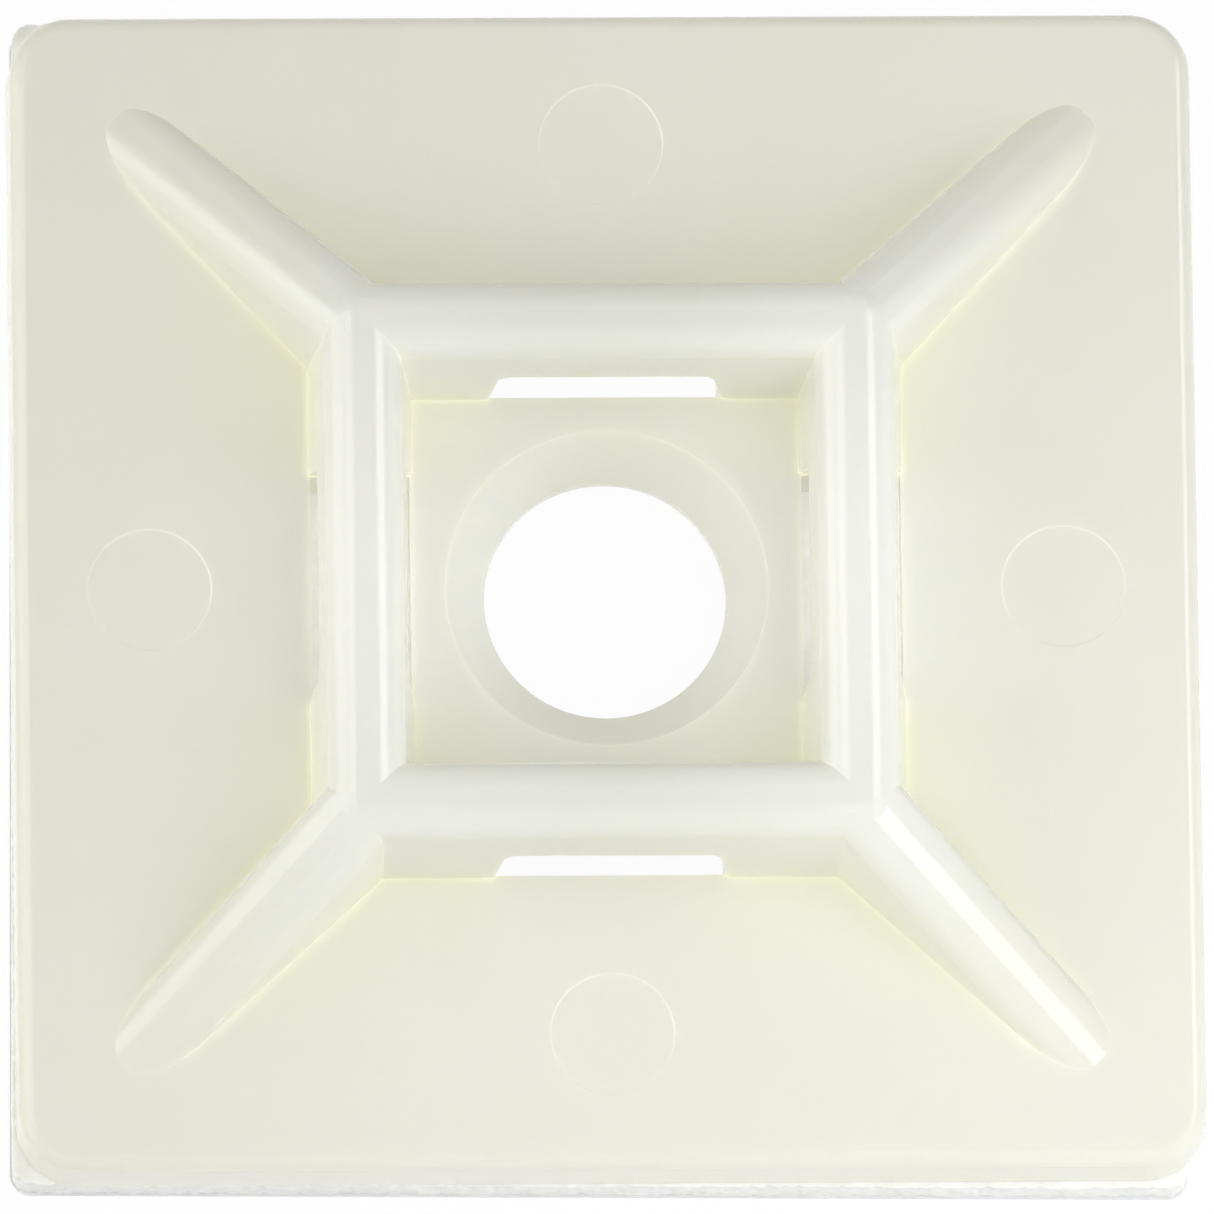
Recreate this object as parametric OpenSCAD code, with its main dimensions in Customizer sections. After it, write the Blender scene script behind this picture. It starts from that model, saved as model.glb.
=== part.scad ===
// Self-adhesive cable tie mount.
// A square nylon plate carries a square frame of round-topped walls. A tie slot
// runs under every wall, and a rib falls away from every corner of the frame.
// A die-cut foam tape sticks the plate down, once its release liner is peeled off.
// Millimetres, +Z up. The origin is the middle of the liner's underside.

/* [Plate] */
// Side of the square plate, at its foot
plate_side = 28; // [25:0.5:36]
// Thickness of the plate
plate_t = 1.6; // [1.2:0.1:2.5]
// Radius of the plate's corners, seen from above
plate_corner_r = 1.5; // [1:0.1:3]
// Radius of the rounding along the plate's upper edge
plate_edge_r = 0.38; // [0.2:0.02:0.6]
// Draft of the plate's sides, in degrees
plate_draft = 2.5; // [0:0.5:5]

/* [Frame] */
// Side of the square well inside the frame, at its floor
well_side = 9.12; // [8.72:0.08:12]
// Thickness of a wall at its foot
wall_t = 2.44; // [2.2:0.04:3]
// Height of the walls above the plate
wall_h = 3.4; // [2.8:0.1:4.5]
// Draft of the sides of walls and ribs, in degrees
wall_draft = 6.2; // [4:0.2:8]
// Radius of the two shoulders along the top of a wall or rib
crown_r = 0.76; // [0.4:0.02:0.8]

/* [Ribs] */
// How much lower than the wall a rib starts
rib_drop = 0.04; // [0.04:0.02:0.5]
// Distance from the middle of the frame's corner to where the rib starts to fall
rib_lead = 0.32; // [0.1:0.02:0.5]
// Distance from a rib's tip to the plate's sides
rib_margin = 2.55; // [1.5:0.05:3.5]

/* [Tie slots] */
// Width of a slot at the plate
slot_w = 5.5; // [4:0.1:6]
// Clear height of a slot above the plate
slot_h = 1.55; // [1.2:0.05:1.9]
// Lean of a slot's two ends, in degrees
slot_lean = 9; // [2:0.5:12]
// Radius of a slot's two upper corners
slot_corner_r = 0.35; // [0.2:0.05:0.6]
// How far the cut under a wall reaches past the wall's foot, above the plate
slot_relief = 0.04; // [0.02:0.02:0.2]
// Width of the ledge on the plate between a slot's foot and its opening below
slot_ledge = 0.05; // [0.02:0.01:0.15]

/* [Screw hole] */
// Diameter of the hole
screw_d = 5.7; // [4:0.1:6.2]
// Diameter of the countersink at the floor of the well
sink_d = 7.6; // [6.6:0.1:8.4]
// Straight length of the hole below the countersink
screw_land = 0.3; // [0.2:0.05:0.6]

/* [Ejector marks] */
// Diameter of an ejector mark
mark_d = 2.96; // [2:0.02:3.2]
// Depth of an ejector mark
mark_depth = 0.05; // [0.03:0.01:0.1]
// Distance from the middle of an ejector mark to the plate's side
mark_margin = 3.24; // [2.6:0.02:3.6]

/* [Foam tape and liner] */
// Thickness of the foam tape
tape_t = 1; // [0.8:0.1:2]
// Thickness of the release liner
liner_t = 0.1; // [0.05:0.01:0.2]
// How far the tape's two edges along Y lie inside the plate's
tape_inset_x = 0.15; // [-0.1:0.05:1]
// How far the tape's two edges along X lie inside the plate's
tape_inset_y = -0.1; // [-0.1:0.05:1]
// Radius of the tape's corners
tape_corner_r = 0.5; // [0.3:0.1:2]
// Turn of the tape against the plate, in degrees
tape_turn = -0.5; // [-1:0.1:1]
// Shift of the tape along X
tape_shift = -0.15; // [-0.3:0.05:0.3]
// Room between the tape's long opening and what it clears: two slots and the screw hole
tape_clearance = 0.5; // [0.2:0.1:1]
// Radius of the corners of that opening
tape_opening_r = 1.2; // [0.5:0.1:2]

/* [Hidden] */
$fn = 96;

plate_top = liner_t + tape_t + plate_t;
well_r = well_side / 2;
frame_r = well_r + wall_t;
wall_line = well_r + wall_t / 2;

// Walls and ribs are rooted this deep in the plate
root = plate_t / 2;
// A cut runs this far past the face that it opens
past = 0.5;

rib_reach = plate_side / 2 - rib_margin;
rib_run = (rib_reach - wall_line) * sqrt(2) - rib_lead;
rib_slope = atan((wall_h - rib_drop) / rib_run);
rib_l = rib_run / cos(rib_slope) + past;

sink_h = plate_t - screw_land;
sink_flare = (sink_d - screw_d) / sink_h;

tape_x = plate_side - 2 * tape_inset_x;
tape_y = plate_side - 2 * tape_inset_y;
opening_x = max(slot_w, screw_d) + 2 * tape_clearance;
opening_y = 2 * (frame_r + tape_clearance);

// Repeats what it is given on the four sides
module on_sides() {
    for (quarter = [0:3]) rotate(90 * quarter) children();
}

// Half a section, right of its middle line: a drafted side that runs into a
// round shoulder and a level top. foot is its width at the bottom.
module shoulder(foot, height, draft, r) {
    side = [
        foot - (height - r + r * sin(draft)) * tan(draft),
        height - r + r * sin(draft)
    ];
    centre = [side.x - r * cos(draft), height - r];
    polygon([[0, 0], [foot, 0], side, centre, [centre.x, height], [0, height]]);
    intersection() {
        translate(centre) circle(r);
        polygon([centre, side, [centre.x + r, height], [centre.x, height]]);
    }
}

// A whole section with both shoulders, and a straight stretch below it
module drafted_section(width, height, draft, r, below) {
    for (half = [0, 1]) mirror([half, 0]) shoulder(width / 2, height, draft, r);
    translate([-width / 2, -below]) square([width, below]);
}

module plate() {
    mid = plate_side / 2 - plate_corner_r;
    translate([-mid, -mid, 0]) cube([2 * mid, 2 * mid, plate_t]);
    on_sides() {
        translate([mid, mid, 0]) rotate([90, 0, 0]) linear_extrude(2 * mid)
            shoulder(plate_corner_r, plate_t, plate_draft, plate_edge_r);
        translate([mid, mid, 0]) rotate_extrude(angle = 90)
            shoulder(plate_corner_r, plate_t, plate_draft, plate_edge_r);
    }
}

// The section that walls and ribs share, drawn out along +X
module wall_bar(length) {
    rotate([90, 0, 90]) linear_extrude(length)
        drafted_section(wall_t, wall_h, wall_draft, crown_r, root);
}

// The wall on the +X side. Its inner half is mitred, and its outer half ends
// where the round corner takes over.
module wall() {
    corner = frame_r + past;
    intersection() {
        translate([wall_line, -wall_line, 0]) rotate(90) wall_bar(2 * wall_line);
        translate([0, 0, -root]) linear_extrude(root + wall_h + past)
            polygon([[0, 0], [corner, -corner], [corner, corner]]);
    }
}

// The round outer corner between the +X and +Y walls
module frame_corner() {
    translate([wall_line, wall_line, 0]) rotate_extrude(angle = 90) {
        shoulder(wall_t / 2, wall_h, wall_draft, crown_r);
        translate([0, -root]) square([wall_t / 2, root]);
    }
}

// The rib of the +X +Y corner: a sloping bar, cut level where it passes under the
// top of the frame
module rib() {
    quadrant = plate_side / 2;
    intersection() {
        rotate(45) translate([wall_line * sqrt(2) + rib_lead, 0, wall_h - rib_drop])
            rotate([0, rib_slope, 0]) translate([-rib_lead, 0, -wall_h])
            wall_bar(rib_lead + rib_l);
        translate([0, 0, -root]) cube([quadrant, quadrant, root + wall_h - rib_drop]);
    }
}

// The passage under the +X wall
module tie_slot() {
    translate([well_r - slot_relief, 0, 0]) rotate([90, 0, 90])
        linear_extrude(wall_t + 2 * slot_relief)
        drafted_section(slot_w, slot_h, slot_lean, slot_corner_r, root + past);
}

// The opening through the plate below that passage, with a ledge on its four sides
module slot_opening() {
    translate([well_r + slot_ledge, slot_ledge - slot_w / 2, -plate_t - past])
        cube([wall_t - 2 * slot_ledge, slot_w - 2 * slot_ledge, plate_t + past + slot_ledge]);
}

module screw_hole() {
    translate([0, 0, -plate_t - past]) cylinder(h = plate_t + past, d = screw_d);
    translate([0, 0, -sink_h])
        cylinder(h = sink_h + past, d1 = screw_d, d2 = sink_d + sink_flare * past);
}

module ejector_mark() {
    translate([plate_side / 2 - mark_margin, 0, -mark_depth])
        cylinder(h = mark_depth + past, d = mark_d);
}

module mount_body() {
    color("ivory") translate([0, 0, plate_top]) difference() {
        union() {
            translate([0, 0, -plate_t]) plate();
            difference() {
                on_sides() {
                    wall();
                    frame_corner();
                    rib();
                }
                on_sides() tie_slot();
            }
        }
        on_sides() {
            slot_opening();
            ejector_mark();
        }
        screw_hole();
    }
}

module rounded_rectangle(size, r) {
    straight = [size.x - 2 * r, size.y - 2 * r];
    square([straight.x, size.y], center = true);
    square([size.x, straight.y], center = true);
    for (x = [-1, 1], y = [-1, 1])
        translate([x * straight.x / 2, y * straight.y / 2]) circle(r);
}

// A sheet of the tape's outline, with its long opening
module die_cut(thickness) {
    translate([tape_shift, 0, 0]) rotate(tape_turn) linear_extrude(thickness) difference() {
        rounded_rectangle([tape_x, tape_y], tape_corner_r);
        rounded_rectangle([opening_x, opening_y], tape_opening_r);
    }
}

module foam_tape() {
    color("white") translate([0, 0, liner_t]) die_cut(tape_t);
}

module release_liner() {
    color("lightsteelblue") die_cut(liner_t);
}

mount_body();
foam_tape();
release_liner();
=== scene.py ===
# %% [markdown]
# # Finish of a self-adhesive cable tie mount
# The real part is three things stuck together: a square nylon moulding, a die-cut pad of foam tape under
# it, and a thin release liner that protects the tape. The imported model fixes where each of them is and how
# big. This script gives them their fine form and their surfaces, and lights them in a small white studio.

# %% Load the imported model
import math

import bmesh
import bpy
from mathutils import Matrix, Vector, noise


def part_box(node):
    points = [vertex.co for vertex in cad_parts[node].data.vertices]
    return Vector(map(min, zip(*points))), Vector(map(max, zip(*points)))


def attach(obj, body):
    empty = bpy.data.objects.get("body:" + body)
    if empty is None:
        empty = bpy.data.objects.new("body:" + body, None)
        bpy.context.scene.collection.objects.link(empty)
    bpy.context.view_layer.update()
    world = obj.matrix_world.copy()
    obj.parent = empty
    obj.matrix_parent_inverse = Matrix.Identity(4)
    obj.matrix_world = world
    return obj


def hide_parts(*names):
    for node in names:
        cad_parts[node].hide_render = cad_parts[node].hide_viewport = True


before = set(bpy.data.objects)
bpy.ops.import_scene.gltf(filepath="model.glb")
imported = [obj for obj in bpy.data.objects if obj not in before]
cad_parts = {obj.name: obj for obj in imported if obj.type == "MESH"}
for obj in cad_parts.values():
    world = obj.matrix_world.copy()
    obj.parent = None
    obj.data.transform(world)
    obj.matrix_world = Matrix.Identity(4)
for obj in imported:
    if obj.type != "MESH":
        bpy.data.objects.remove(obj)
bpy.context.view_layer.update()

MM = 0.001

# %% [markdown]
# ## Camera
# A flat part is best told from almost straight above, with a long lens so that its sides stay parallel. The
# camera leans a little towards the front, which shows the front edge of the plate and the passages under
# the walls. The lean is written as an azimuth and an elevation, because those are easy to change by hand.

# %% Camera
body_low, body_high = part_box("mount_body")
wall_height = 3.4 * MM
plate_top = body_high.z - wall_height

camera_azimuth = math.radians(-9.15)
camera_elevation = math.radians(76.32)
camera_roll = math.radians(-0.77)
camera_distance = 842.8 * MM
camera_target = Vector((0, -0.463 * MM, plate_top))
camera_sensor = 36
camera_lens = 1062.4
CLIP_RATIO = 10

back = Vector((
    math.sin(camera_azimuth) * math.cos(camera_elevation),
    -math.cos(camera_azimuth) * math.cos(camera_elevation),
    math.sin(camera_elevation),
))
right = Vector((0, 1, 0)).cross(back).normalized()
turn = Matrix((right, back.cross(right), back)).transposed() @ Matrix.Rotation(camera_roll, 3, "Z")

camera = bpy.data.objects.new("camera", bpy.data.cameras.new("camera"))
bpy.context.scene.collection.objects.link(camera)
camera.matrix_world = Matrix.Translation(camera_target + back * camera_distance) @ turn.to_4x4()
camera.data.sensor_width = camera_sensor
camera.data.lens = camera_lens
camera.data.clip_start = camera_distance / CLIP_RATIO
camera.data.clip_end = camera_distance * CLIP_RATIO
bpy.context.scene.camera = camera
print("camera at mm:", [round(v / MM, 1) for v in camera.matrix_world.translation])

# %% [markdown]
# ## A moulded section
# Everything that stands up on a moulding has draft, so that it leaves the mould, and a rounded top where
# the cutter that made the mould had a radius. One function draws half of such a section, and the plate's
# edge, the walls, the ribs and the passages under the walls all use it with their own sizes.

# %% Half of a section with draft and a round shoulder
def half_section(foot, height, draft, radius, steps):
    """Points (offset, height) up a drafted side and round its shoulder to the level top."""
    centre_z = height - radius
    side_z = centre_z + radius * math.sin(draft)
    centre_x = foot - side_z * math.tan(draft) - radius * math.cos(draft)
    points = [(foot, 0.0)]
    for step in range(steps + 1):
        angle = draft + (math.pi / 2 - draft) * step / steps
        points.append((centre_x + radius * math.cos(angle), centre_z + radius * math.sin(angle)))
    return points


def mirrored(points):
    """The same points on the other side of the middle line, in order, so that the section closes."""
    return points + [(-x, z) for x, z in reversed(points)]


MERGE_DISTANCE = 0.0001 * MM


def add_object(name, bm):
    """Turns a bmesh into an object, with coinciding points merged and outward normals."""
    bmesh.ops.remove_doubles(bm, verts=bm.verts, dist=MERGE_DISTANCE)
    bmesh.ops.recalc_face_normals(bm, faces=bm.faces)
    mesh = bpy.data.meshes.new(name)
    bm.to_mesh(mesh)
    bm.free()
    made = bpy.data.objects.new(name, mesh)
    bpy.context.scene.collection.objects.link(made)
    return made


def add_loft(name, rings, closed=False):
    """Skins a stack of rings with equal counts. An open stack gets a face at each end."""
    bm = bmesh.new()
    loops = [[bm.verts.new(p) for p in ring] for ring in rings]
    pairs = list(zip(loops, loops[1:]))
    if closed:
        pairs.append((loops[-1], loops[0]))
    for low, high in pairs:
        for i in range(len(low)):
            j = (i + 1) % len(low)
            bm.faces.new((low[i], low[j], high[j], high[i]))
    if not closed:
        bm.faces.new(list(reversed(loops[0])))
        bm.faces.new(loops[-1])
    return add_object(name, bm)


# %% [markdown]
# ## The plate
# The plate is a square with rounded corners and a soft upper edge. Seen from above, each height of it is a
# rounded square, so a loft through such outlines follows the draft and the rounding of the edge exactly,
# and the corners get the same soft edge without a bevel.

# %% Plate
plate_side = body_high.x - body_low.x
plate_thickness = plate_top - body_low.z
plate_corner = 1.5 * MM
plate_draft = math.radians(2.5)
plate_edge_radius = 0.38 * MM
CORNER_STEPS = 20
EDGE_STEPS = 12


def rounded_square(half_side, radius, z, steps):
    """Points round a square with rounded corners, anticlockwise."""
    middle = half_side - radius
    points = []
    for quarter in range(4):
        for step in range(steps + 1):
            angle = math.pi / 2 * (quarter + step / steps)
            corner = Matrix.Rotation(math.pi / 2 * quarter, 3, "Z") @ Vector((middle, middle, z))
            points.append(corner + radius * Vector((math.cos(angle), math.sin(angle), 0)))
    return points


edge = half_section(plate_corner, plate_thickness, plate_draft, plate_edge_radius, EDGE_STEPS)
plate_middle = plate_side / 2 - plate_corner
moulding = add_loft("moulding", [
    rounded_square(plate_middle + x, x, body_low.z + z, CORNER_STEPS) for x, z in edge
])
print("plate", round(plate_side / MM, 2), "mm square and", round(plate_thickness / MM, 2), "mm thick")

# %% [markdown]
# ## The square frame
# Four walls stand on the plate. Their groove in the mould was milled with a round cutter, which leaves the
# outer corners round and the inner ones sharp. A loft can close on itself: each point of the wall's section
# becomes an outline, a rounded square outside the middle line and a plain square inside it, and the stack
# of them, from the outer foot over the top and down to the inner foot, is the whole frame.

# %% Frame
well_half = 4.56 * MM
wall_thickness = 2.44 * MM
wall_draft = math.radians(6.2)
crown_radius = 0.76 * MM
wall_line = well_half + wall_thickness / 2
root = plate_thickness / 2
CROWN_STEPS = 24

wall_half = half_section(wall_thickness / 2, wall_height, wall_draft, crown_radius, CROWN_STEPS)
wall_section = mirrored([(wall_thickness / 2, -root)] + wall_half)
frame_walls = add_loft("frame_walls", [
    rounded_square(wall_line + x, max(x, 0), plate_top + z, CORNER_STEPS) for x, z in wall_section
], closed=True)
print("frame", round((wall_line + wall_thickness / 2) * 2 / MM, 2), "mm across,",
      round(wall_height / MM, 2), "mm high")

# %% [markdown]
# ## The four ribs
# A rib with the wall's own section falls from each corner of the frame to the plate and runs out there in a
# long rounded tip. It is a straight prism along a sloping line. It starts inside the frame, is cut level
# just under the frame's top so that nothing pokes out, and is cut level again inside the plate. The tip
# gets its true shape where the prism meets the plate.

# %% Ribs
rib_drop = 0.04 * MM
rib_lead = 0.32 * MM
rib_margin = 2.55 * MM
cut_past = 0.5 * MM

rib_start = wall_line * math.sqrt(2) + rib_lead
rib_reach = plate_side / 2 - rib_margin
rib_run = rib_reach * math.sqrt(2) - rib_start
rib_slope = math.atan((wall_height - rib_drop) / rib_run)
rib_length = rib_run / math.cos(rib_slope) + cut_past


def cut_level(bm, z, outward):
    """Cuts a closed convex mesh at a height and closes it again. Outward is 1 above the cut, -1 below."""
    everything = bm.verts[:] + bm.edges[:] + bm.faces[:]
    cut = bmesh.ops.bisect_plane(
        bm, geom=everything, plane_co=(0, 0, z), plane_no=(0, 0, outward), clear_outer=True)
    rim = [e for e in cut["geom_cut"] if isinstance(e, bmesh.types.BMEdge)]
    bmesh.ops.contextual_create(bm, geom=rim)


def add_rib(quarter):
    """The rib of one corner, from inside the frame to just under the plate's top."""
    along = Vector((math.cos(rib_slope), 0, -math.sin(rib_slope)))
    upward = Vector((math.sin(rib_slope), 0, math.cos(rib_slope)))
    ridge = Vector((rib_start, 0, plate_top + wall_height - rib_drop))
    spin = Matrix.Rotation(math.pi / 2 * (quarter + 0.5), 3, "Z")
    bm = bmesh.new()
    ends = []
    for reach in (-rib_lead, rib_length):
        base = ridge + along * reach - upward * wall_height
        ends.append([bm.verts.new(spin @ (base + Vector((0, x, 0)) + upward * z)) for x, z in wall_section])
    for i in range(len(wall_section)):
        j = (i + 1) % len(wall_section)
        bm.faces.new((ends[0][i], ends[0][j], ends[1][j], ends[1][i]))
    bm.faces.new(ends[0])
    bm.faces.new(ends[1])
    cut_level(bm, ridge.z, 1)
    cut_level(bm, plate_top - root, -1)
    return add_object(f"rib_{quarter}", bm)


ribs = [add_rib(quarter) for quarter in range(4)]
print("ribs fall at", round(math.degrees(rib_slope), 1), "degrees over", round(rib_run / MM, 2), "mm")

# %% [markdown]
# ## What is cut away
# Under every wall runs a passage for the tie. The steel that shaped it came up through the plate, so below
# each passage there is an opening, a hair narrower than the passage. The hole in the middle takes a screw
# with a countersunk head. The four faint rings are where ejector pins pushed the part out of the mould.
# Their rims slope a little, which is enough to catch a thread of light.

# %% Cutters
slot_width = 5.5 * MM
slot_height = 1.55 * MM
slot_lean = math.radians(9)
slot_corner = 0.35 * MM
slot_relief = 0.04 * MM
slot_ledge = 0.05 * MM
screw_radius = 2.85 * MM
sink_radius = 3.8 * MM
screw_land = 0.3 * MM
mark_radius = 1.48 * MM
mark_depth = 0.03 * MM
mark_slope = 0.04 * MM
mark_margin = 3.24 * MM
ROUND_STEPS = 128
MARK_STEPS = 96
SLOT_STEPS = 8


def add_lathe(name, profile, centre, steps):
    """A solid of revolution about a line along Z, from (radius, height) points."""
    rings = [[
        centre + Vector((r * math.cos(math.tau * i / steps), r * math.sin(math.tau * i / steps), z))
        for i in range(steps)
    ] for r, z in profile]
    return add_loft(name, rings)


def add_bar(name, quarter, section, inner, outer):
    """A prism across the wall of one side, between two distances from the middle."""
    spin = Matrix.Rotation(math.pi / 2 * quarter, 3, "Z")
    return add_loft(name, [
        [spin @ Vector((reach, x, plate_top + z)) for x, z in section] for reach in (inner, outer)
    ])


def add_slot(quarter):
    """The passage under one wall, with leaning ends and rounded upper corners."""
    slot_half = half_section(slot_width / 2, slot_height, slot_lean, slot_corner, SLOT_STEPS)
    section = mirrored([(slot_width / 2, -root - cut_past)] + slot_half)
    outer = well_half + wall_thickness + slot_relief
    return add_bar(f"slot_{quarter}", quarter, section, well_half - slot_relief, outer)


def add_slot_opening(quarter):
    """The opening through the plate under that passage."""
    across = slot_width / 2 - slot_ledge
    section = mirrored([(across, -plate_thickness - cut_past), (across, slot_ledge)])
    outer = well_half + wall_thickness - slot_ledge
    return add_bar(f"slot_opening_{quarter}", quarter, section, well_half + slot_ledge, outer)


def add_mark(quarter):
    """The shallow round recess that an ejector pin leaves on one side of the plate."""
    spin = Matrix.Rotation(math.pi / 2 * quarter, 3, "Z")
    centre = spin @ Vector((plate_side / 2 - mark_margin, 0, plate_top))
    profile = [(mark_radius - mark_slope, -mark_depth), (mark_radius, 0), (mark_radius, cut_past)]
    return add_lathe(f"mark_{quarter}", profile, centre, MARK_STEPS)


flare = (sink_radius - screw_radius) / (plate_thickness - screw_land)
screw_hole = add_lathe("screw_hole", [
    (screw_radius, -plate_thickness - cut_past),
    (screw_radius, screw_land - plate_thickness),
    (sink_radius + flare * cut_past, cut_past),
], Vector((0, 0, plate_top)), ROUND_STEPS)
slots = [add_slot(quarter) for quarter in range(4)]
slot_openings = [add_slot_opening(quarter) for quarter in range(4)]
marks = [add_mark(quarter) for quarter in range(4)]
cutters = slot_openings + marks + [screw_hole]
print(len(slots), "passages and", len(cutters), "cutters for the plate")

# %% [markdown]
# ## Joining and cutting
# Boolean modifiers join the pieces and take the cutters away. The passages are cut while the frame is still
# apart from the plate, so that the plate's top stays whole under them. The Manifold solver is quick and
# gives a clean closed result when every operand is closed.

# %% One moulding
def apply_boolean(target, operation, operands):
    """Joins or cuts a target with a list of closed operands, then removes them."""
    group = bpy.data.collections.new("operands")
    bpy.context.scene.collection.children.link(group)
    for operand in operands:
        group.objects.link(operand)
    step = target.modifiers.new(operation.lower(), "BOOLEAN")
    step.operation = operation
    step.operand_type = "COLLECTION"
    step.collection = group
    step.solver = "MANIFOLD"
    depsgraph = bpy.context.evaluated_depsgraph_get()
    result = bpy.data.meshes.new_from_object(target.evaluated_get(depsgraph))
    target.modifiers.clear()
    target.data = result
    for operand in operands:
        bpy.data.objects.remove(operand)
    bpy.data.collections.remove(group)


apply_boolean(frame_walls, "UNION", ribs)
apply_boolean(frame_walls, "DIFFERENCE", slots)
apply_boolean(moulding, "UNION", [frame_walls])
apply_boolean(moulding, "DIFFERENCE", cutters)
print("moulding:", len(moulding.data.vertices), "points,", len(moulding.data.polygons), "faces")

# %% [markdown]
# ## Shading of the moulding
# The shading stays crisp at real edges and smooth over the rounds. The angle that parts the two is small: a
# rib's top meets the plate at only some 24 degrees, and smoothed across that edge its round tip would look
# like a pointed horn. Along the mitres the two walls meet at less than that angle near the top, so those
# edges are marked crisp one by one.

# %% Shading of the moulding
CREASE_ANGLE = math.radians(14)
FACE_WEIGHT = 100
moulding.data.shade_smooth()
moulding.data.set_sharp_from_angle(angle=CREASE_ANGLE)


def on_mitre(point):
    """Whether a point lies over a diagonal, between the frame's inner foot and its middle line."""
    x, y = abs(point.x), abs(point.y)
    hair = 0.002 * MM
    return abs(x - y) < hair and well_half < x < wall_line + hair and point.z > plate_top


mitres = 0
for line in moulding.data.edges:
    start, end = (moulding.data.vertices[i].co for i in line.vertices)
    if on_mitre((start + end) / 2):
        line.use_edge_sharp = True
        mitres += 1
print(mitres, "edges along the mitres kept crisp")

weighted = moulding.modifiers.new("face_weighted_normals", "WEIGHTED_NORMAL")
weighted.keep_sharp = True
weighted.weight = FACE_WEIGHT
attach(moulding, "root")
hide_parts("mount_body")

# %% [markdown]
# ## The foam pad
# The pad was cut out of a roll of foam tape with a steel rule. Its cut edge is rough: the blade opened the
# foam's little cells, and they show as pits. The wall of the pad is a fine grid that noise pushes inwards,
# so the pits are real geometry and the pad never grows past its outline. It was stuck on by hand, slightly
# turned and shifted against the plate.

# %% Foam pad
foam_low, foam_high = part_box("foam_tape")
tape_width = 27.7 * MM
tape_depth = 28.2 * MM
tape_corner = 0.5 * MM
tape_clearance = 0.5 * MM
opening_width = 2 * (screw_radius + tape_clearance)
opening_depth = 2 * (well_half + wall_thickness + tape_clearance)
opening_corner = 1.2 * MM
tape_turn = math.radians(-0.5)
tape_shift = Vector((-0.15 * MM, 0, 0))
cell_size = 0.22 * MM
cell_depth = 0.16 * MM
cell_fill = 0.55
wave_cells = 6
tear_cells = 0.35
cell_share = 0.55
wave_share = 0.25
tear_share = 0.2
top_gap = 0.02 * MM
FOAM_STEP = 0.07 * MM
FOAM_ROWS = 15
FOAM_CREASE = math.radians(60)


def cut_outline(width, depth, corner):
    """Evenly spaced points round a rectangle with rounded corners, each with its outward direction."""
    across = width / 2 - corner
    deep = depth / 2 - corner
    centres = [Vector((across, deep, 0)), Vector((-across, deep, 0)),
               Vector((-across, -deep, 0)), Vector((across, -deep, 0))]
    points = []
    for quarter, centre in enumerate(centres):
        arc_steps = math.ceil(math.pi / 2 * corner / FOAM_STEP)
        for step in range(arc_steps + 1):
            angle = math.pi / 2 * (quarter + step / arc_steps)
            out = Vector((math.cos(angle), math.sin(angle), 0))
            points.append((centre + out * corner, out))
        start = points[-1][0]
        end = centres[(quarter + 1) % 4] + out * corner
        straight_steps = math.ceil((end - start).length / FOAM_STEP)
        points += [(start.lerp(end, i / straight_steps), out) for i in range(1, straight_steps)]
    return points


def pit_depth(point):
    """How far the cut edge is pushed in at a point: open cells, a ragged coarse wave and a fine tear."""
    distances, _ = noise.voronoi(point / cell_size)
    cell = max(0.0, 1 - distances[0] / cell_fill)
    wave = 0.5 + 0.5 * noise.noise(point / (wave_cells * cell_size))
    tear = 0.5 + 0.5 * noise.noise(point / (tear_cells * cell_size))
    return cell_depth * (cell_share * cell + wave_share * wave + tear_share * tear)


def add_foam():
    """The pad's pitted outer wall, the pitted wall of its long opening, and its two flat faces."""
    bm = bmesh.new()
    place = Matrix.Translation(tape_shift) @ Matrix.Rotation(tape_turn, 4, "Z")
    height = foam_high.z - top_gap - foam_low.z
    rims = []
    for outline, inward in (
        (cut_outline(tape_width, tape_depth, tape_corner), -1),
        (cut_outline(opening_width, opening_depth, opening_corner), 1),
    ):
        rows = []
        for row in range(FOAM_ROWS):
            level = Vector((0, 0, foam_low.z + height * row / (FOAM_ROWS - 1)))
            rows.append([
                bm.verts.new(place @ (point + level + out * inward * pit_depth(point + level)))
                for point, out in outline
            ])
        for low, high in zip(rows, rows[1:]):
            for i in range(len(low)):
                bm.faces.new((low[i - 1], low[i], high[i], high[i - 1]))
        rims.append((rows[0], rows[-1]))
    for face in range(2):
        loops = [rim[face] for rim in rims]
        edges = [bm.edges.get((loop[i - 1], loop[i])) for loop in loops for i in range(len(loop))]
        bmesh.ops.triangle_fill(bm, use_beauty=True, edges=edges)
    return add_object("foam_pad", bm)


foam = add_foam()
foam.data.shade_smooth()
foam.data.set_sharp_from_angle(angle=FOAM_CREASE)
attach(foam, "root")
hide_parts("foam_tape")
print("foam pad:", len(foam.data.polygons), "faces")

# %% [markdown]
# ## A shared effect: mottling
# No moulded or cast surface is even. A node group turns three-dimensional noise into a soft mask between 0
# and 1 and a fine height, and each material mixes them in at its own strength. The group gives out values
# only, and the shaders stay in the materials.

# %% Node helpers
def new_material(name):
    """An empty material with an output and a Principled BSDF joined to it."""
    material = bpy.data.materials.new(name)
    material.use_nodes = True
    tree = material.node_tree
    tree.nodes.clear()
    output = tree.nodes.new("ShaderNodeOutputMaterial")
    shader = tree.nodes.new("ShaderNodeBsdfPrincipled")
    tree.links.new(shader.outputs["BSDF"], output.inputs["Surface"])
    return material, tree, shader


def set_inputs(node, values):
    """Sets sockets by name."""
    for name, value in values.items():
        node.inputs[name].default_value = value


def add_node(tree, kind, **values):
    """A node with some of its sockets set; underscores in the names stand for spaces."""
    node = tree.nodes.new(kind)
    set_inputs(node, {name.replace("_", " "): value for name, value in values.items()})
    return node


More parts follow.
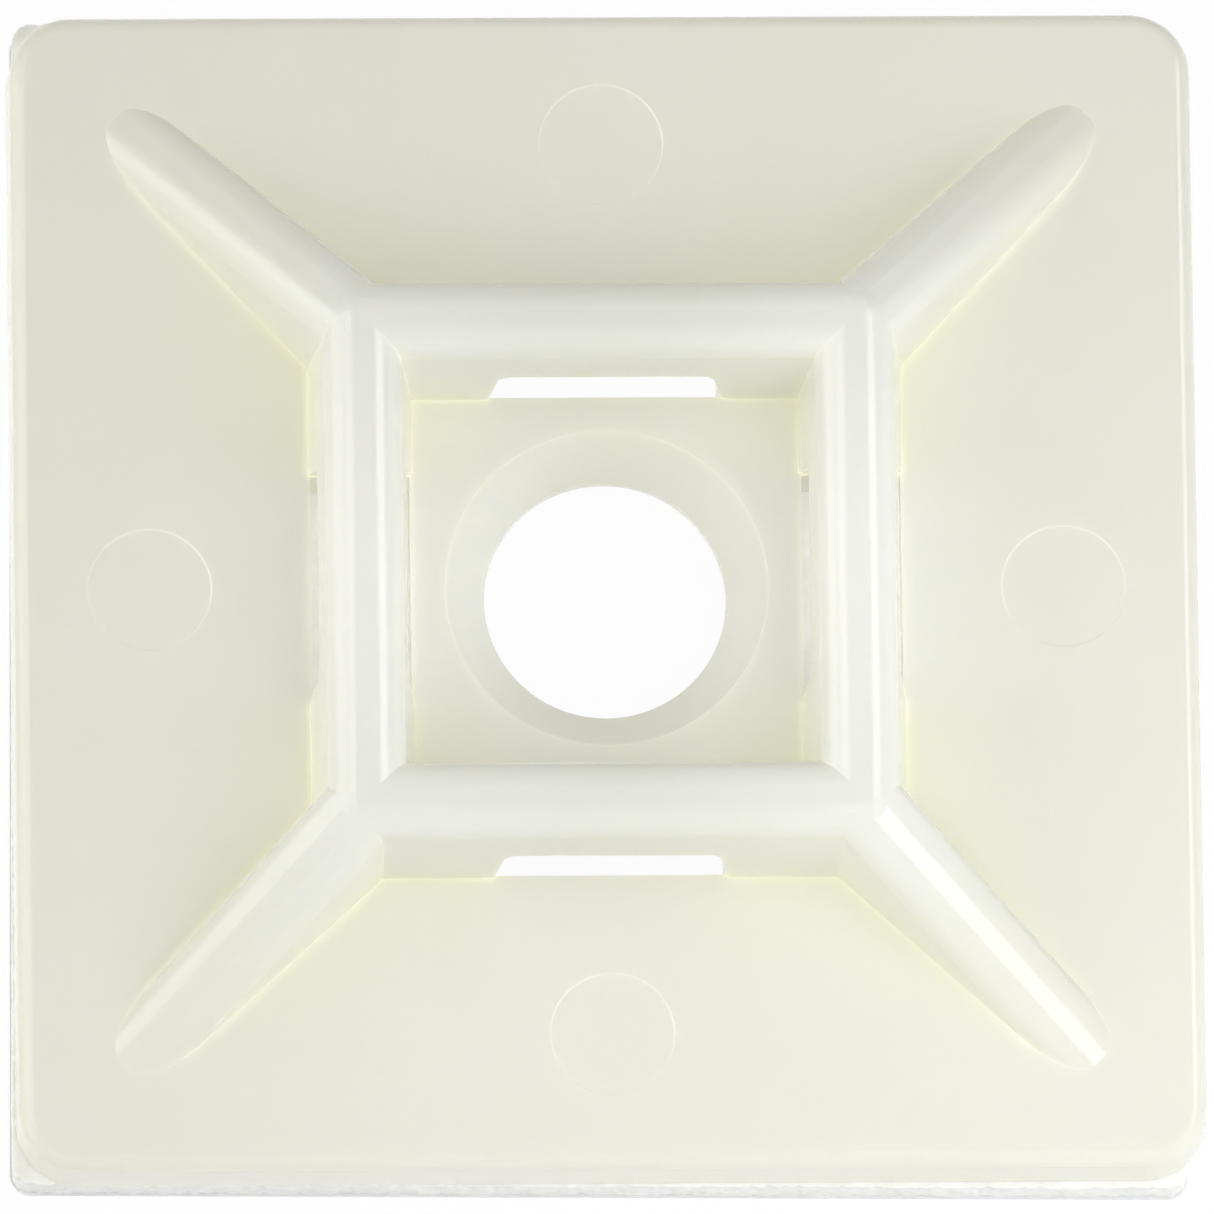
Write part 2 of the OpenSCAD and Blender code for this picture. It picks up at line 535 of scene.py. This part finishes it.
def calculate(tree, operation, *values):
    """A Math node's output. Each value is a number or the output of another node."""
    node = tree.nodes.new("ShaderNodeMath")
    node.operation = operation
    for socket, value in zip(node.inputs, values):
        if isinstance(value, bpy.types.NodeSocket):
            tree.links.new(value, socket)
        else:
            socket.default_value = value
    return node.outputs[0]


def ramp(tree, value, start, end, low=0.0, high=1.0):
    """A smooth step from low to high while the value runs from start to end."""
    node = add_node(tree, "ShaderNodeMapRange", From_Min=start, From_Max=end, To_Min=low, To_Max=high)
    node.interpolation_type = "SMOOTHSTEP"
    tree.links.new(value, node.inputs["Value"])
    return node.outputs["Result"]


def mix_colours(tree, factor, first, second):
    """The first colour where the factor is 0, the second where it is 1."""
    node = tree.nodes.new("ShaderNodeMix")
    node.data_type = "RGBA"
    tree.links.new(factor, node.inputs["Factor"])
    for label, colour in (("A", first), ("B", second)):
        if isinstance(colour, bpy.types.NodeSocket):
            tree.links.new(colour, node.inputs[label])
        else:
            node.inputs[label].default_value = colour
    return node.outputs["Result"]


def set_roughness(tree, shader, height, smooth, rough):
    """Lets the roughness run between two values with a fine height."""
    node = add_node(tree, "ShaderNodeMapRange", To_Min=smooth, To_Max=rough)
    tree.links.new(height, node.inputs["Value"])
    tree.links.new(node.outputs["Result"], shader.inputs["Roughness"])


def set_bump(tree, shader, height, strength, distance):
    """Tilts the surface's normal as if it had a fine height."""
    node = add_node(tree, "ShaderNodeBump", Strength=strength, Distance=distance)
    tree.links.new(height, node.inputs["Height"])
    tree.links.new(node.outputs["Normal"], shader.inputs["Normal"])


# %% Mottling group
def make_mottling():
    """Group: Scale and Fine Scale in, Mask and Fine out."""
    group = bpy.data.node_groups.new("mottling", "ShaderNodeTree")
    for label, value in (("Scale", 200.0), ("Fine Scale", 4000.0)):
        socket = group.interface.new_socket(label, in_out="INPUT", socket_type="NodeSocketFloat")
        socket.default_value = value
    for label in ("Mask", "Fine"):
        group.interface.new_socket(label, in_out="OUTPUT", socket_type="NodeSocketFloat")
    entry = group.nodes.new("NodeGroupInput")
    leave = group.nodes.new("NodeGroupOutput")
    place = group.nodes.new("ShaderNodeTexCoord")
    clouds = add_node(group, "ShaderNodeTexNoise", Detail=3.0, Roughness=0.55)
    fine = add_node(group, "ShaderNodeTexNoise", Detail=4.0, Roughness=0.6)
    contrast = add_node(group, "ShaderNodeMapRange", From_Min=0.3, From_Max=0.7)
    contrast.interpolation_type = "SMOOTHSTEP"
    link = group.links.new
    for texture, label in ((clouds, "Scale"), (fine, "Fine Scale")):
        link(place.outputs["Object"], texture.inputs["Vector"])
        link(entry.outputs[label], texture.inputs["Scale"])
    link(clouds.outputs["Fac"], contrast.inputs["Value"])
    link(contrast.outputs["Result"], leave.inputs["Mask"])
    link(fine.outputs["Fac"], leave.inputs["Fine"])
    return group


mottling = make_mottling()
print("mottling group:", len(mottling.nodes), "nodes")


def add_mottling(tree, scale, fine_scale):
    """Places the group in a material with its own scales, in waves per metre."""
    node = tree.nodes.new("ShaderNodeGroup")
    node.node_tree = mottling
    set_inputs(node, {"Scale": scale, "Fine Scale": fine_scale})
    return node


# %% [markdown]
# ## Natural nylon
# Uncoloured nylon is milky: light enters it, scatters for about a millimetre and comes back warmer. Such
# thin walls hardly shade each other, because the light that they stop comes out of them again. So the
# moulding casts no shadow, and masks paint in the light and shade that this would give instead. Painted
# shade makes it a little greyer on the raised parts, and deeper and yellower on the plate beside walls and
# ribs. Painted light makes it paler where light leaks in from the left and right: in the walls there, round
# the screw hole and at the passages. The masks could be painted, but worked out from the part's own sizes
# they stay in register with it.

# %% Masks for painted light and shade on the nylon
# Sizes of the painted light and shade on the nylon.
painted_shade_reach = 1.6 * MM
rib_painted_shade_reach = 1.5 * painted_shade_reach
painted_shade_heights = (0.06 * MM, 0.3 * MM)
raised_top = plate_top + wall_height * 0.7
rib_end = 10 * MM
rib_end_share = 0.2
well_share = 0.7
painted_leak_share = 0.95
passage_ends = (slot_width / 2 - 1.2 * MM, slot_width / 2 + 0.8 * MM)
sink_rim = (screw_radius * 1.15, sink_radius * 1.2)


def gap_beyond(tree, distance, half_width):
    """How far a place is outside a strip, given its distance from the strip's middle line."""
    return calculate(tree, "MAXIMUM", calculate(tree, "SUBTRACT", distance, half_width), 0.0)


def fades_out(tree, gap, reach):
    """1 where the gap is 0, and less by a factor e over every reach."""
    return calculate(tree, "EXPONENT", calculate(tree, "DIVIDE", gap, -reach))


def add_rib_painted_shade(tree, x, y, reach):
    """Painted shade outside the frame, along the ribs, which weakens as the ribs get lower."""
    aside = calculate(tree, "ABSOLUTE", calculate(tree, "SUBTRACT", x, y))
    gap = gap_beyond(tree, aside, wall_thickness * math.sqrt(0.5))
    beside_rib = fades_out(tree, gap, rib_painted_shade_reach)
    fall = ramp(tree, calculate(tree, "ADD", x, y), 2 * wall_line, 2 * rib_reach, 1.0, 0.0)
    beside_rib = calculate(tree, "MULTIPLY", beside_rib, fall)
    return calculate(tree, "MULTIPLY", beside_rib, calculate(tree, "GREATER_THAN", reach, wall_line))


def add_painted_light_masks(tree):
    """Three masks: height above the plate, painted shade beside walls and ribs, and painted light from the
    sides.
    """
    place = tree.nodes.new("ShaderNodeTexCoord")
    split = tree.nodes.new("ShaderNodeSeparateXYZ")
    tree.links.new(place.outputs["Object"], split.inputs["Vector"])
    x = calculate(tree, "ABSOLUTE", split.outputs["X"])
    y = calculate(tree, "ABSOLUTE", split.outputs["Y"])
    reach = calculate(tree, "MAXIMUM", x, y)
    along = calculate(tree, "MINIMUM", x, y)

    # Raised parts, fading along the ribs: they get a greyer painted shade, and painted light from the sides.
    high = ramp(tree, split.outputs["Z"], plate_top, raised_top)
    high = calculate(tree, "MULTIPLY", high, ramp(tree, reach, wall_line, rib_end, 1.0, rib_end_share))

    # Painted shade on the plate beside the walls, weaker at the passages and inside the well.
    from_wall = calculate(tree, "ABSOLUTE", calculate(tree, "SUBTRACT", reach, wall_line))
    beside_wall = fades_out(tree, gap_beyond(tree, from_wall, wall_thickness / 2), painted_shade_reach)
    solid = ramp(tree, along, *passage_ends)
    painted_shade = calculate(tree, "MULTIPLY", beside_wall, solid)
    outside = ramp(tree, reach, well_half, wall_line, well_share, 1.0)
    painted_shade = calculate(tree, "MULTIPLY", painted_shade, outside)
    painted_shade = calculate(tree, "MAXIMUM", painted_shade, add_rib_painted_shade(tree, x, y, reach))
    off_plate = calculate(tree, "ABSOLUTE", calculate(tree, "SUBTRACT", split.outputs["Z"], plate_top))
    painted_shade = calculate(tree, "MULTIPLY", painted_shade, ramp(tree, off_plate, *painted_shade_heights, 1.0, 0.0))

    xx = calculate(tree, "MULTIPLY", x, x)
    yy = calculate(tree, "MULTIPLY", y, y)
    square = calculate(tree, "ADD", xx, yy)
    # Painted light round the screw hole, where the countersink looks pale.
    rim = ramp(tree, calculate(tree, "SQRT", square), *sink_rim, 1.0, 0.0)
    # Painted light at the passages, where light leaks in under the walls.
    painted_leak_light = calculate(tree, "MULTIPLY", beside_wall, calculate(tree, "SUBTRACT", 1.0, solid))
    painted_leak_light = calculate(tree, "MULTIPLY", painted_leak_light, painted_leak_share)
    painted_light_places = calculate(tree, "MAXIMUM", calculate(tree, "MAXIMUM", high, rim), painted_leak_light)
    # Painted side light: paler the more a place lies left or right of the middle.
    painted_side_light = calculate(tree, "MULTIPLY", calculate(tree, "DIVIDE", xx, square), painted_light_places)
    return high, painted_shade, painted_side_light


# %% [markdown]
# The skin of the nylon copies the polished steel of the mould, so it is glossy, with a faint cloudiness
# where the melt cooled unevenly. Subsurface scattering softens the shading, with a longer path for red than
# for blue.

# %% Nylon
nylon_plain = (0.815, 0.807, 0.70, 1)
# Painted shade: the greyer tint of the raised parts.
nylon_raised_painted_shade = (0.765, 0.77, 0.685, 1)
# Painted shade: the deeper, yellower tint on the plate beside walls and ribs.
nylon_painted_shade = (0.775, 0.775, 0.60, 1)
# Painted light: the paler tint where light comes in from the left and right.
nylon_painted_side_light = (0.88, 0.88, 0.795, 1)
cloud_share = 0.25
painted_shade_share = 0.65
nylon, tree, skin = new_material("natural_nylon")
skin.subsurface_method = "BURLEY"
set_inputs(skin, {
    "IOR": 1.53,
    "Subsurface Weight": 0.8,
    "Subsurface Radius": (1.0, 0.85, 0.55),
    "Subsurface Scale": 0.3 * MM,
})
clouding = add_mottling(tree, 160, 1500)
high, painted_shade, painted_side_light = add_painted_light_masks(tree)
cloud = calculate(tree, "MULTIPLY", clouding.outputs["Mask"], cloud_share)
# Real clouding plus the painted shade beside walls and ribs.
depth = calculate(tree, "MULTIPLY_ADD", painted_shade, painted_shade_share, cloud)
colour = mix_colours(tree, high, nylon_plain, nylon_raised_painted_shade)
colour = mix_colours(tree, depth, colour, nylon_painted_shade)
colour = mix_colours(tree, painted_side_light, colour, nylon_painted_side_light)
tree.links.new(colour, skin.inputs["Base Color"])
set_roughness(tree, skin, clouding.outputs["Fine"], 0.15, 0.19)
set_bump(tree, skin, clouding.outputs["Fine"], 0.1, 0.004 * MM)
moulding.data.materials.clear()
moulding.data.materials.append(nylon)
moulding.visible_shadow = False
print("nylon:", len(tree.nodes), "nodes on", len(moulding.data.polygons), "faces")

# %% [markdown]
# ## Foam and liner
# The foam is dull and white, a little see-through at its torn cell walls. The liner is paper with a slick
# coating, cooler in colour than anything above it, and only its cut edge shows.

# %% Foam
foam_light = (0.91, 0.91, 0.86, 1)
foam_shade = (0.84, 0.84, 0.78, 1)
foam_material, tree, skin = new_material("cut_foam")
set_inputs(skin, {
    "Roughness": 0.85,
    "Subsurface Weight": 0.5,
    "Subsurface Radius": (1.0, 1.0, 0.9),
    "Subsurface Scale": 0.15 * MM,
})
cells = add_mottling(tree, 1500, 9000)
tree.links.new(mix_colours(tree, cells.outputs["Mask"], foam_light, foam_shade), skin.inputs["Base Color"])
set_bump(tree, skin, cells.outputs["Fine"], 0.4, 0.02 * MM)
foam.data.materials.append(foam_material)
print("foam:", len(tree.nodes), "nodes on", len(foam.data.polygons), "faces")

# %% Liner
liner_pale = (0.80, 0.80, 0.79, 1)
liner_grey = (0.74, 0.74, 0.74, 1)
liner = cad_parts["release_liner"]
liner_material, tree, skin = new_material("coated_paper")
fibres = add_mottling(tree, 700, 4000)
tree.links.new(mix_colours(tree, fibres.outputs["Mask"], liner_pale, liner_grey), skin.inputs["Base Color"])
set_roughness(tree, skin, fibres.outputs["Fine"], 0.3, 0.45)
liner.data.materials.clear()
liner.data.materials.append(liner_material)
liner_low, liner_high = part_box("release_liner")
print("liner:", round((liner_high.z - liner_low.z) / MM, 2), "mm thick")

# %% [markdown]
# ## Floor and white surround
# The part lies on a white sheet that runs out of sight. Seen directly or in reflections, the sheet is plain
# white. A share of it stays an ordinary matt surface, so that the tape and the liner still cast the part's
# faint shadow on it. The light on the part comes from a white tent that is bright at the left and right,
# less so at the front and back, and nearly dark overhead, which gives the drafted sides their tone.

# %% Floor
floor_half = 3.0
floor_glow = 0.95
sheet_white = (0.9, 0.9, 0.9, 1)


def camera_sees(tree):
    """1 for rays from the camera, mirrors and glass, 0 for the light that falls on the object."""
    rays = tree.nodes.new("ShaderNodeLightPath")
    seen = calculate(tree, "MAXIMUM", rays.outputs["Is Camera Ray"], rays.outputs["Is Glossy Ray"])
    return calculate(tree, "MAXIMUM", seen, rays.outputs["Is Transmission Ray"])


bm = bmesh.new()
bmesh.ops.create_grid(bm, x_segments=1, y_segments=1, size=floor_half)
floor = add_object("floor", bm)

sheet, tree, matt = new_material("white_sheet")
set_inputs(matt, {"Base Color": sheet_white, "Roughness": 0.9})
glow = add_node(tree, "ShaderNodeEmission", Strength=1.0)
blend = tree.nodes.new("ShaderNodeMixShader")
tree.links.new(calculate(tree, "MULTIPLY", camera_sees(tree), floor_glow), blend.inputs["Fac"])
tree.links.new(matt.outputs["BSDF"], blend.inputs[1])
tree.links.new(glow.outputs["Emission"], blend.inputs[2])
output = next(node for node in tree.nodes if node.type == "OUTPUT_MATERIAL")
tree.links.new(blend.outputs["Shader"], output.inputs["Surface"])
floor.data.materials.append(sheet)
print("floor:", 2 * floor_half, "m square")

# %% World
tent_top = 0.1
tent_sides = 1.15
tent_ends = 0.5
tent_white = (1, 0.997, 0.985, 1)
world = bpy.data.worlds.new("studio")
world.use_nodes = True
bpy.context.scene.world = world
tree = world.node_tree
place = tree.nodes.new("ShaderNodeTexCoord")
split = tree.nodes.new("ShaderNodeSeparateXYZ")
tree.links.new(place.outputs["Generated"], split.inputs["Vector"])
sideways = calculate(tree, "MULTIPLY", split.outputs["X"], split.outputs["X"])
endways = calculate(tree, "MULTIPLY", split.outputs["Y"], split.outputs["Y"])
tent = calculate(tree, "MULTIPLY_ADD", sideways, tent_sides, tent_top)
tent = calculate(tree, "MULTIPLY_ADD", endways, tent_ends, tent)
strength = add_node(tree, "ShaderNodeMix", B=1.0)
background = next(node for node in tree.nodes if node.type == "BACKGROUND")
background.inputs["Color"].default_value = tent_white
tree.links.new(camera_sees(tree), strength.inputs["Factor"])
tree.links.new(tent, strength.inputs["A"])
tree.links.new(strength.outputs["Result"], background.inputs["Strength"])
print("tent: strength", tent_top, "overhead,", round(tent_top + tent_sides, 2), "at the sides,",
      round(tent_top + tent_ends, 2), "at the ends")

# %% [markdown]
# ## Lamps
# A small softbox stands close by, at the front right. Its light falls off within the part's own width,
# which makes that corner the palest, and its face is kept out of reflections. A wider one at the left fills
# the other side. Three more show in reflections alone: the thin bright lines along the right and left walls
# and along the front right rib are theirs. Each is given by where it stands and by how bright its face
# looks, where 1 is white, and its power follows from its area.

# %% Lamps
near_tint = (0.965, 0.985, 1.09)
SOFTBOXES = [
    # name, azimuth and angle from above in degrees, distance, width and height in metres, brightness
    ("near_softbox", -42, 40, 0.06, 0.06, 0.06, 1.84),
    ("side_softbox", 180, 66, 0.2, 0.16, 0.14, 1.75),
    ("right_glint", 23, 36, 0.6, 0.2, 0.26, 3.2),
    ("left_glint", 152, 31, 0.6, 0.24, 0.28, 2.0),
    ("rib_glint", -28, 41, 0.6, 0.09, 0.09, 4.5),
]


def add_softbox(name, azimuth, from_above, distance, width, height, brightness):
    """A rectangular lamp that looks at the part. Azimuth 0 is +X, 90 is +Y."""
    lamp = bpy.data.lights.new(name, "AREA")
    lamp.shape = "RECTANGLE"
    lamp.size = width
    lamp.size_y = height
    lamp.energy = brightness * math.pi * width * height
    box = bpy.data.objects.new(name, lamp)
    bpy.context.scene.collection.objects.link(box)
    around = math.radians(azimuth)
    down = math.radians(from_above)
    out = Vector((math.sin(down) * math.cos(around), math.sin(down) * math.sin(around), math.cos(down)))
    box.location = camera_target + out * distance
    box.rotation_mode = "QUATERNION"
    box.rotation_quaternion = out.to_track_quat("Z", "Y")
    box.visible_camera = False
    return box


lamps = {where[0]: add_softbox(*where) for where in SOFTBOXES}
lamps["near_softbox"].data.color = near_tint
lamps["near_softbox"].visible_glossy = False
for name in ("right_glint", "left_glint", "rib_glint"):
    lamps[name].visible_diffuse = False
print("lamps:", ", ".join(f"{name} {box.data.energy:.3f} W" for name, box in lamps.items()))

# %% Look of the render
bpy.context.scene.view_settings.view_transform = "Standard"
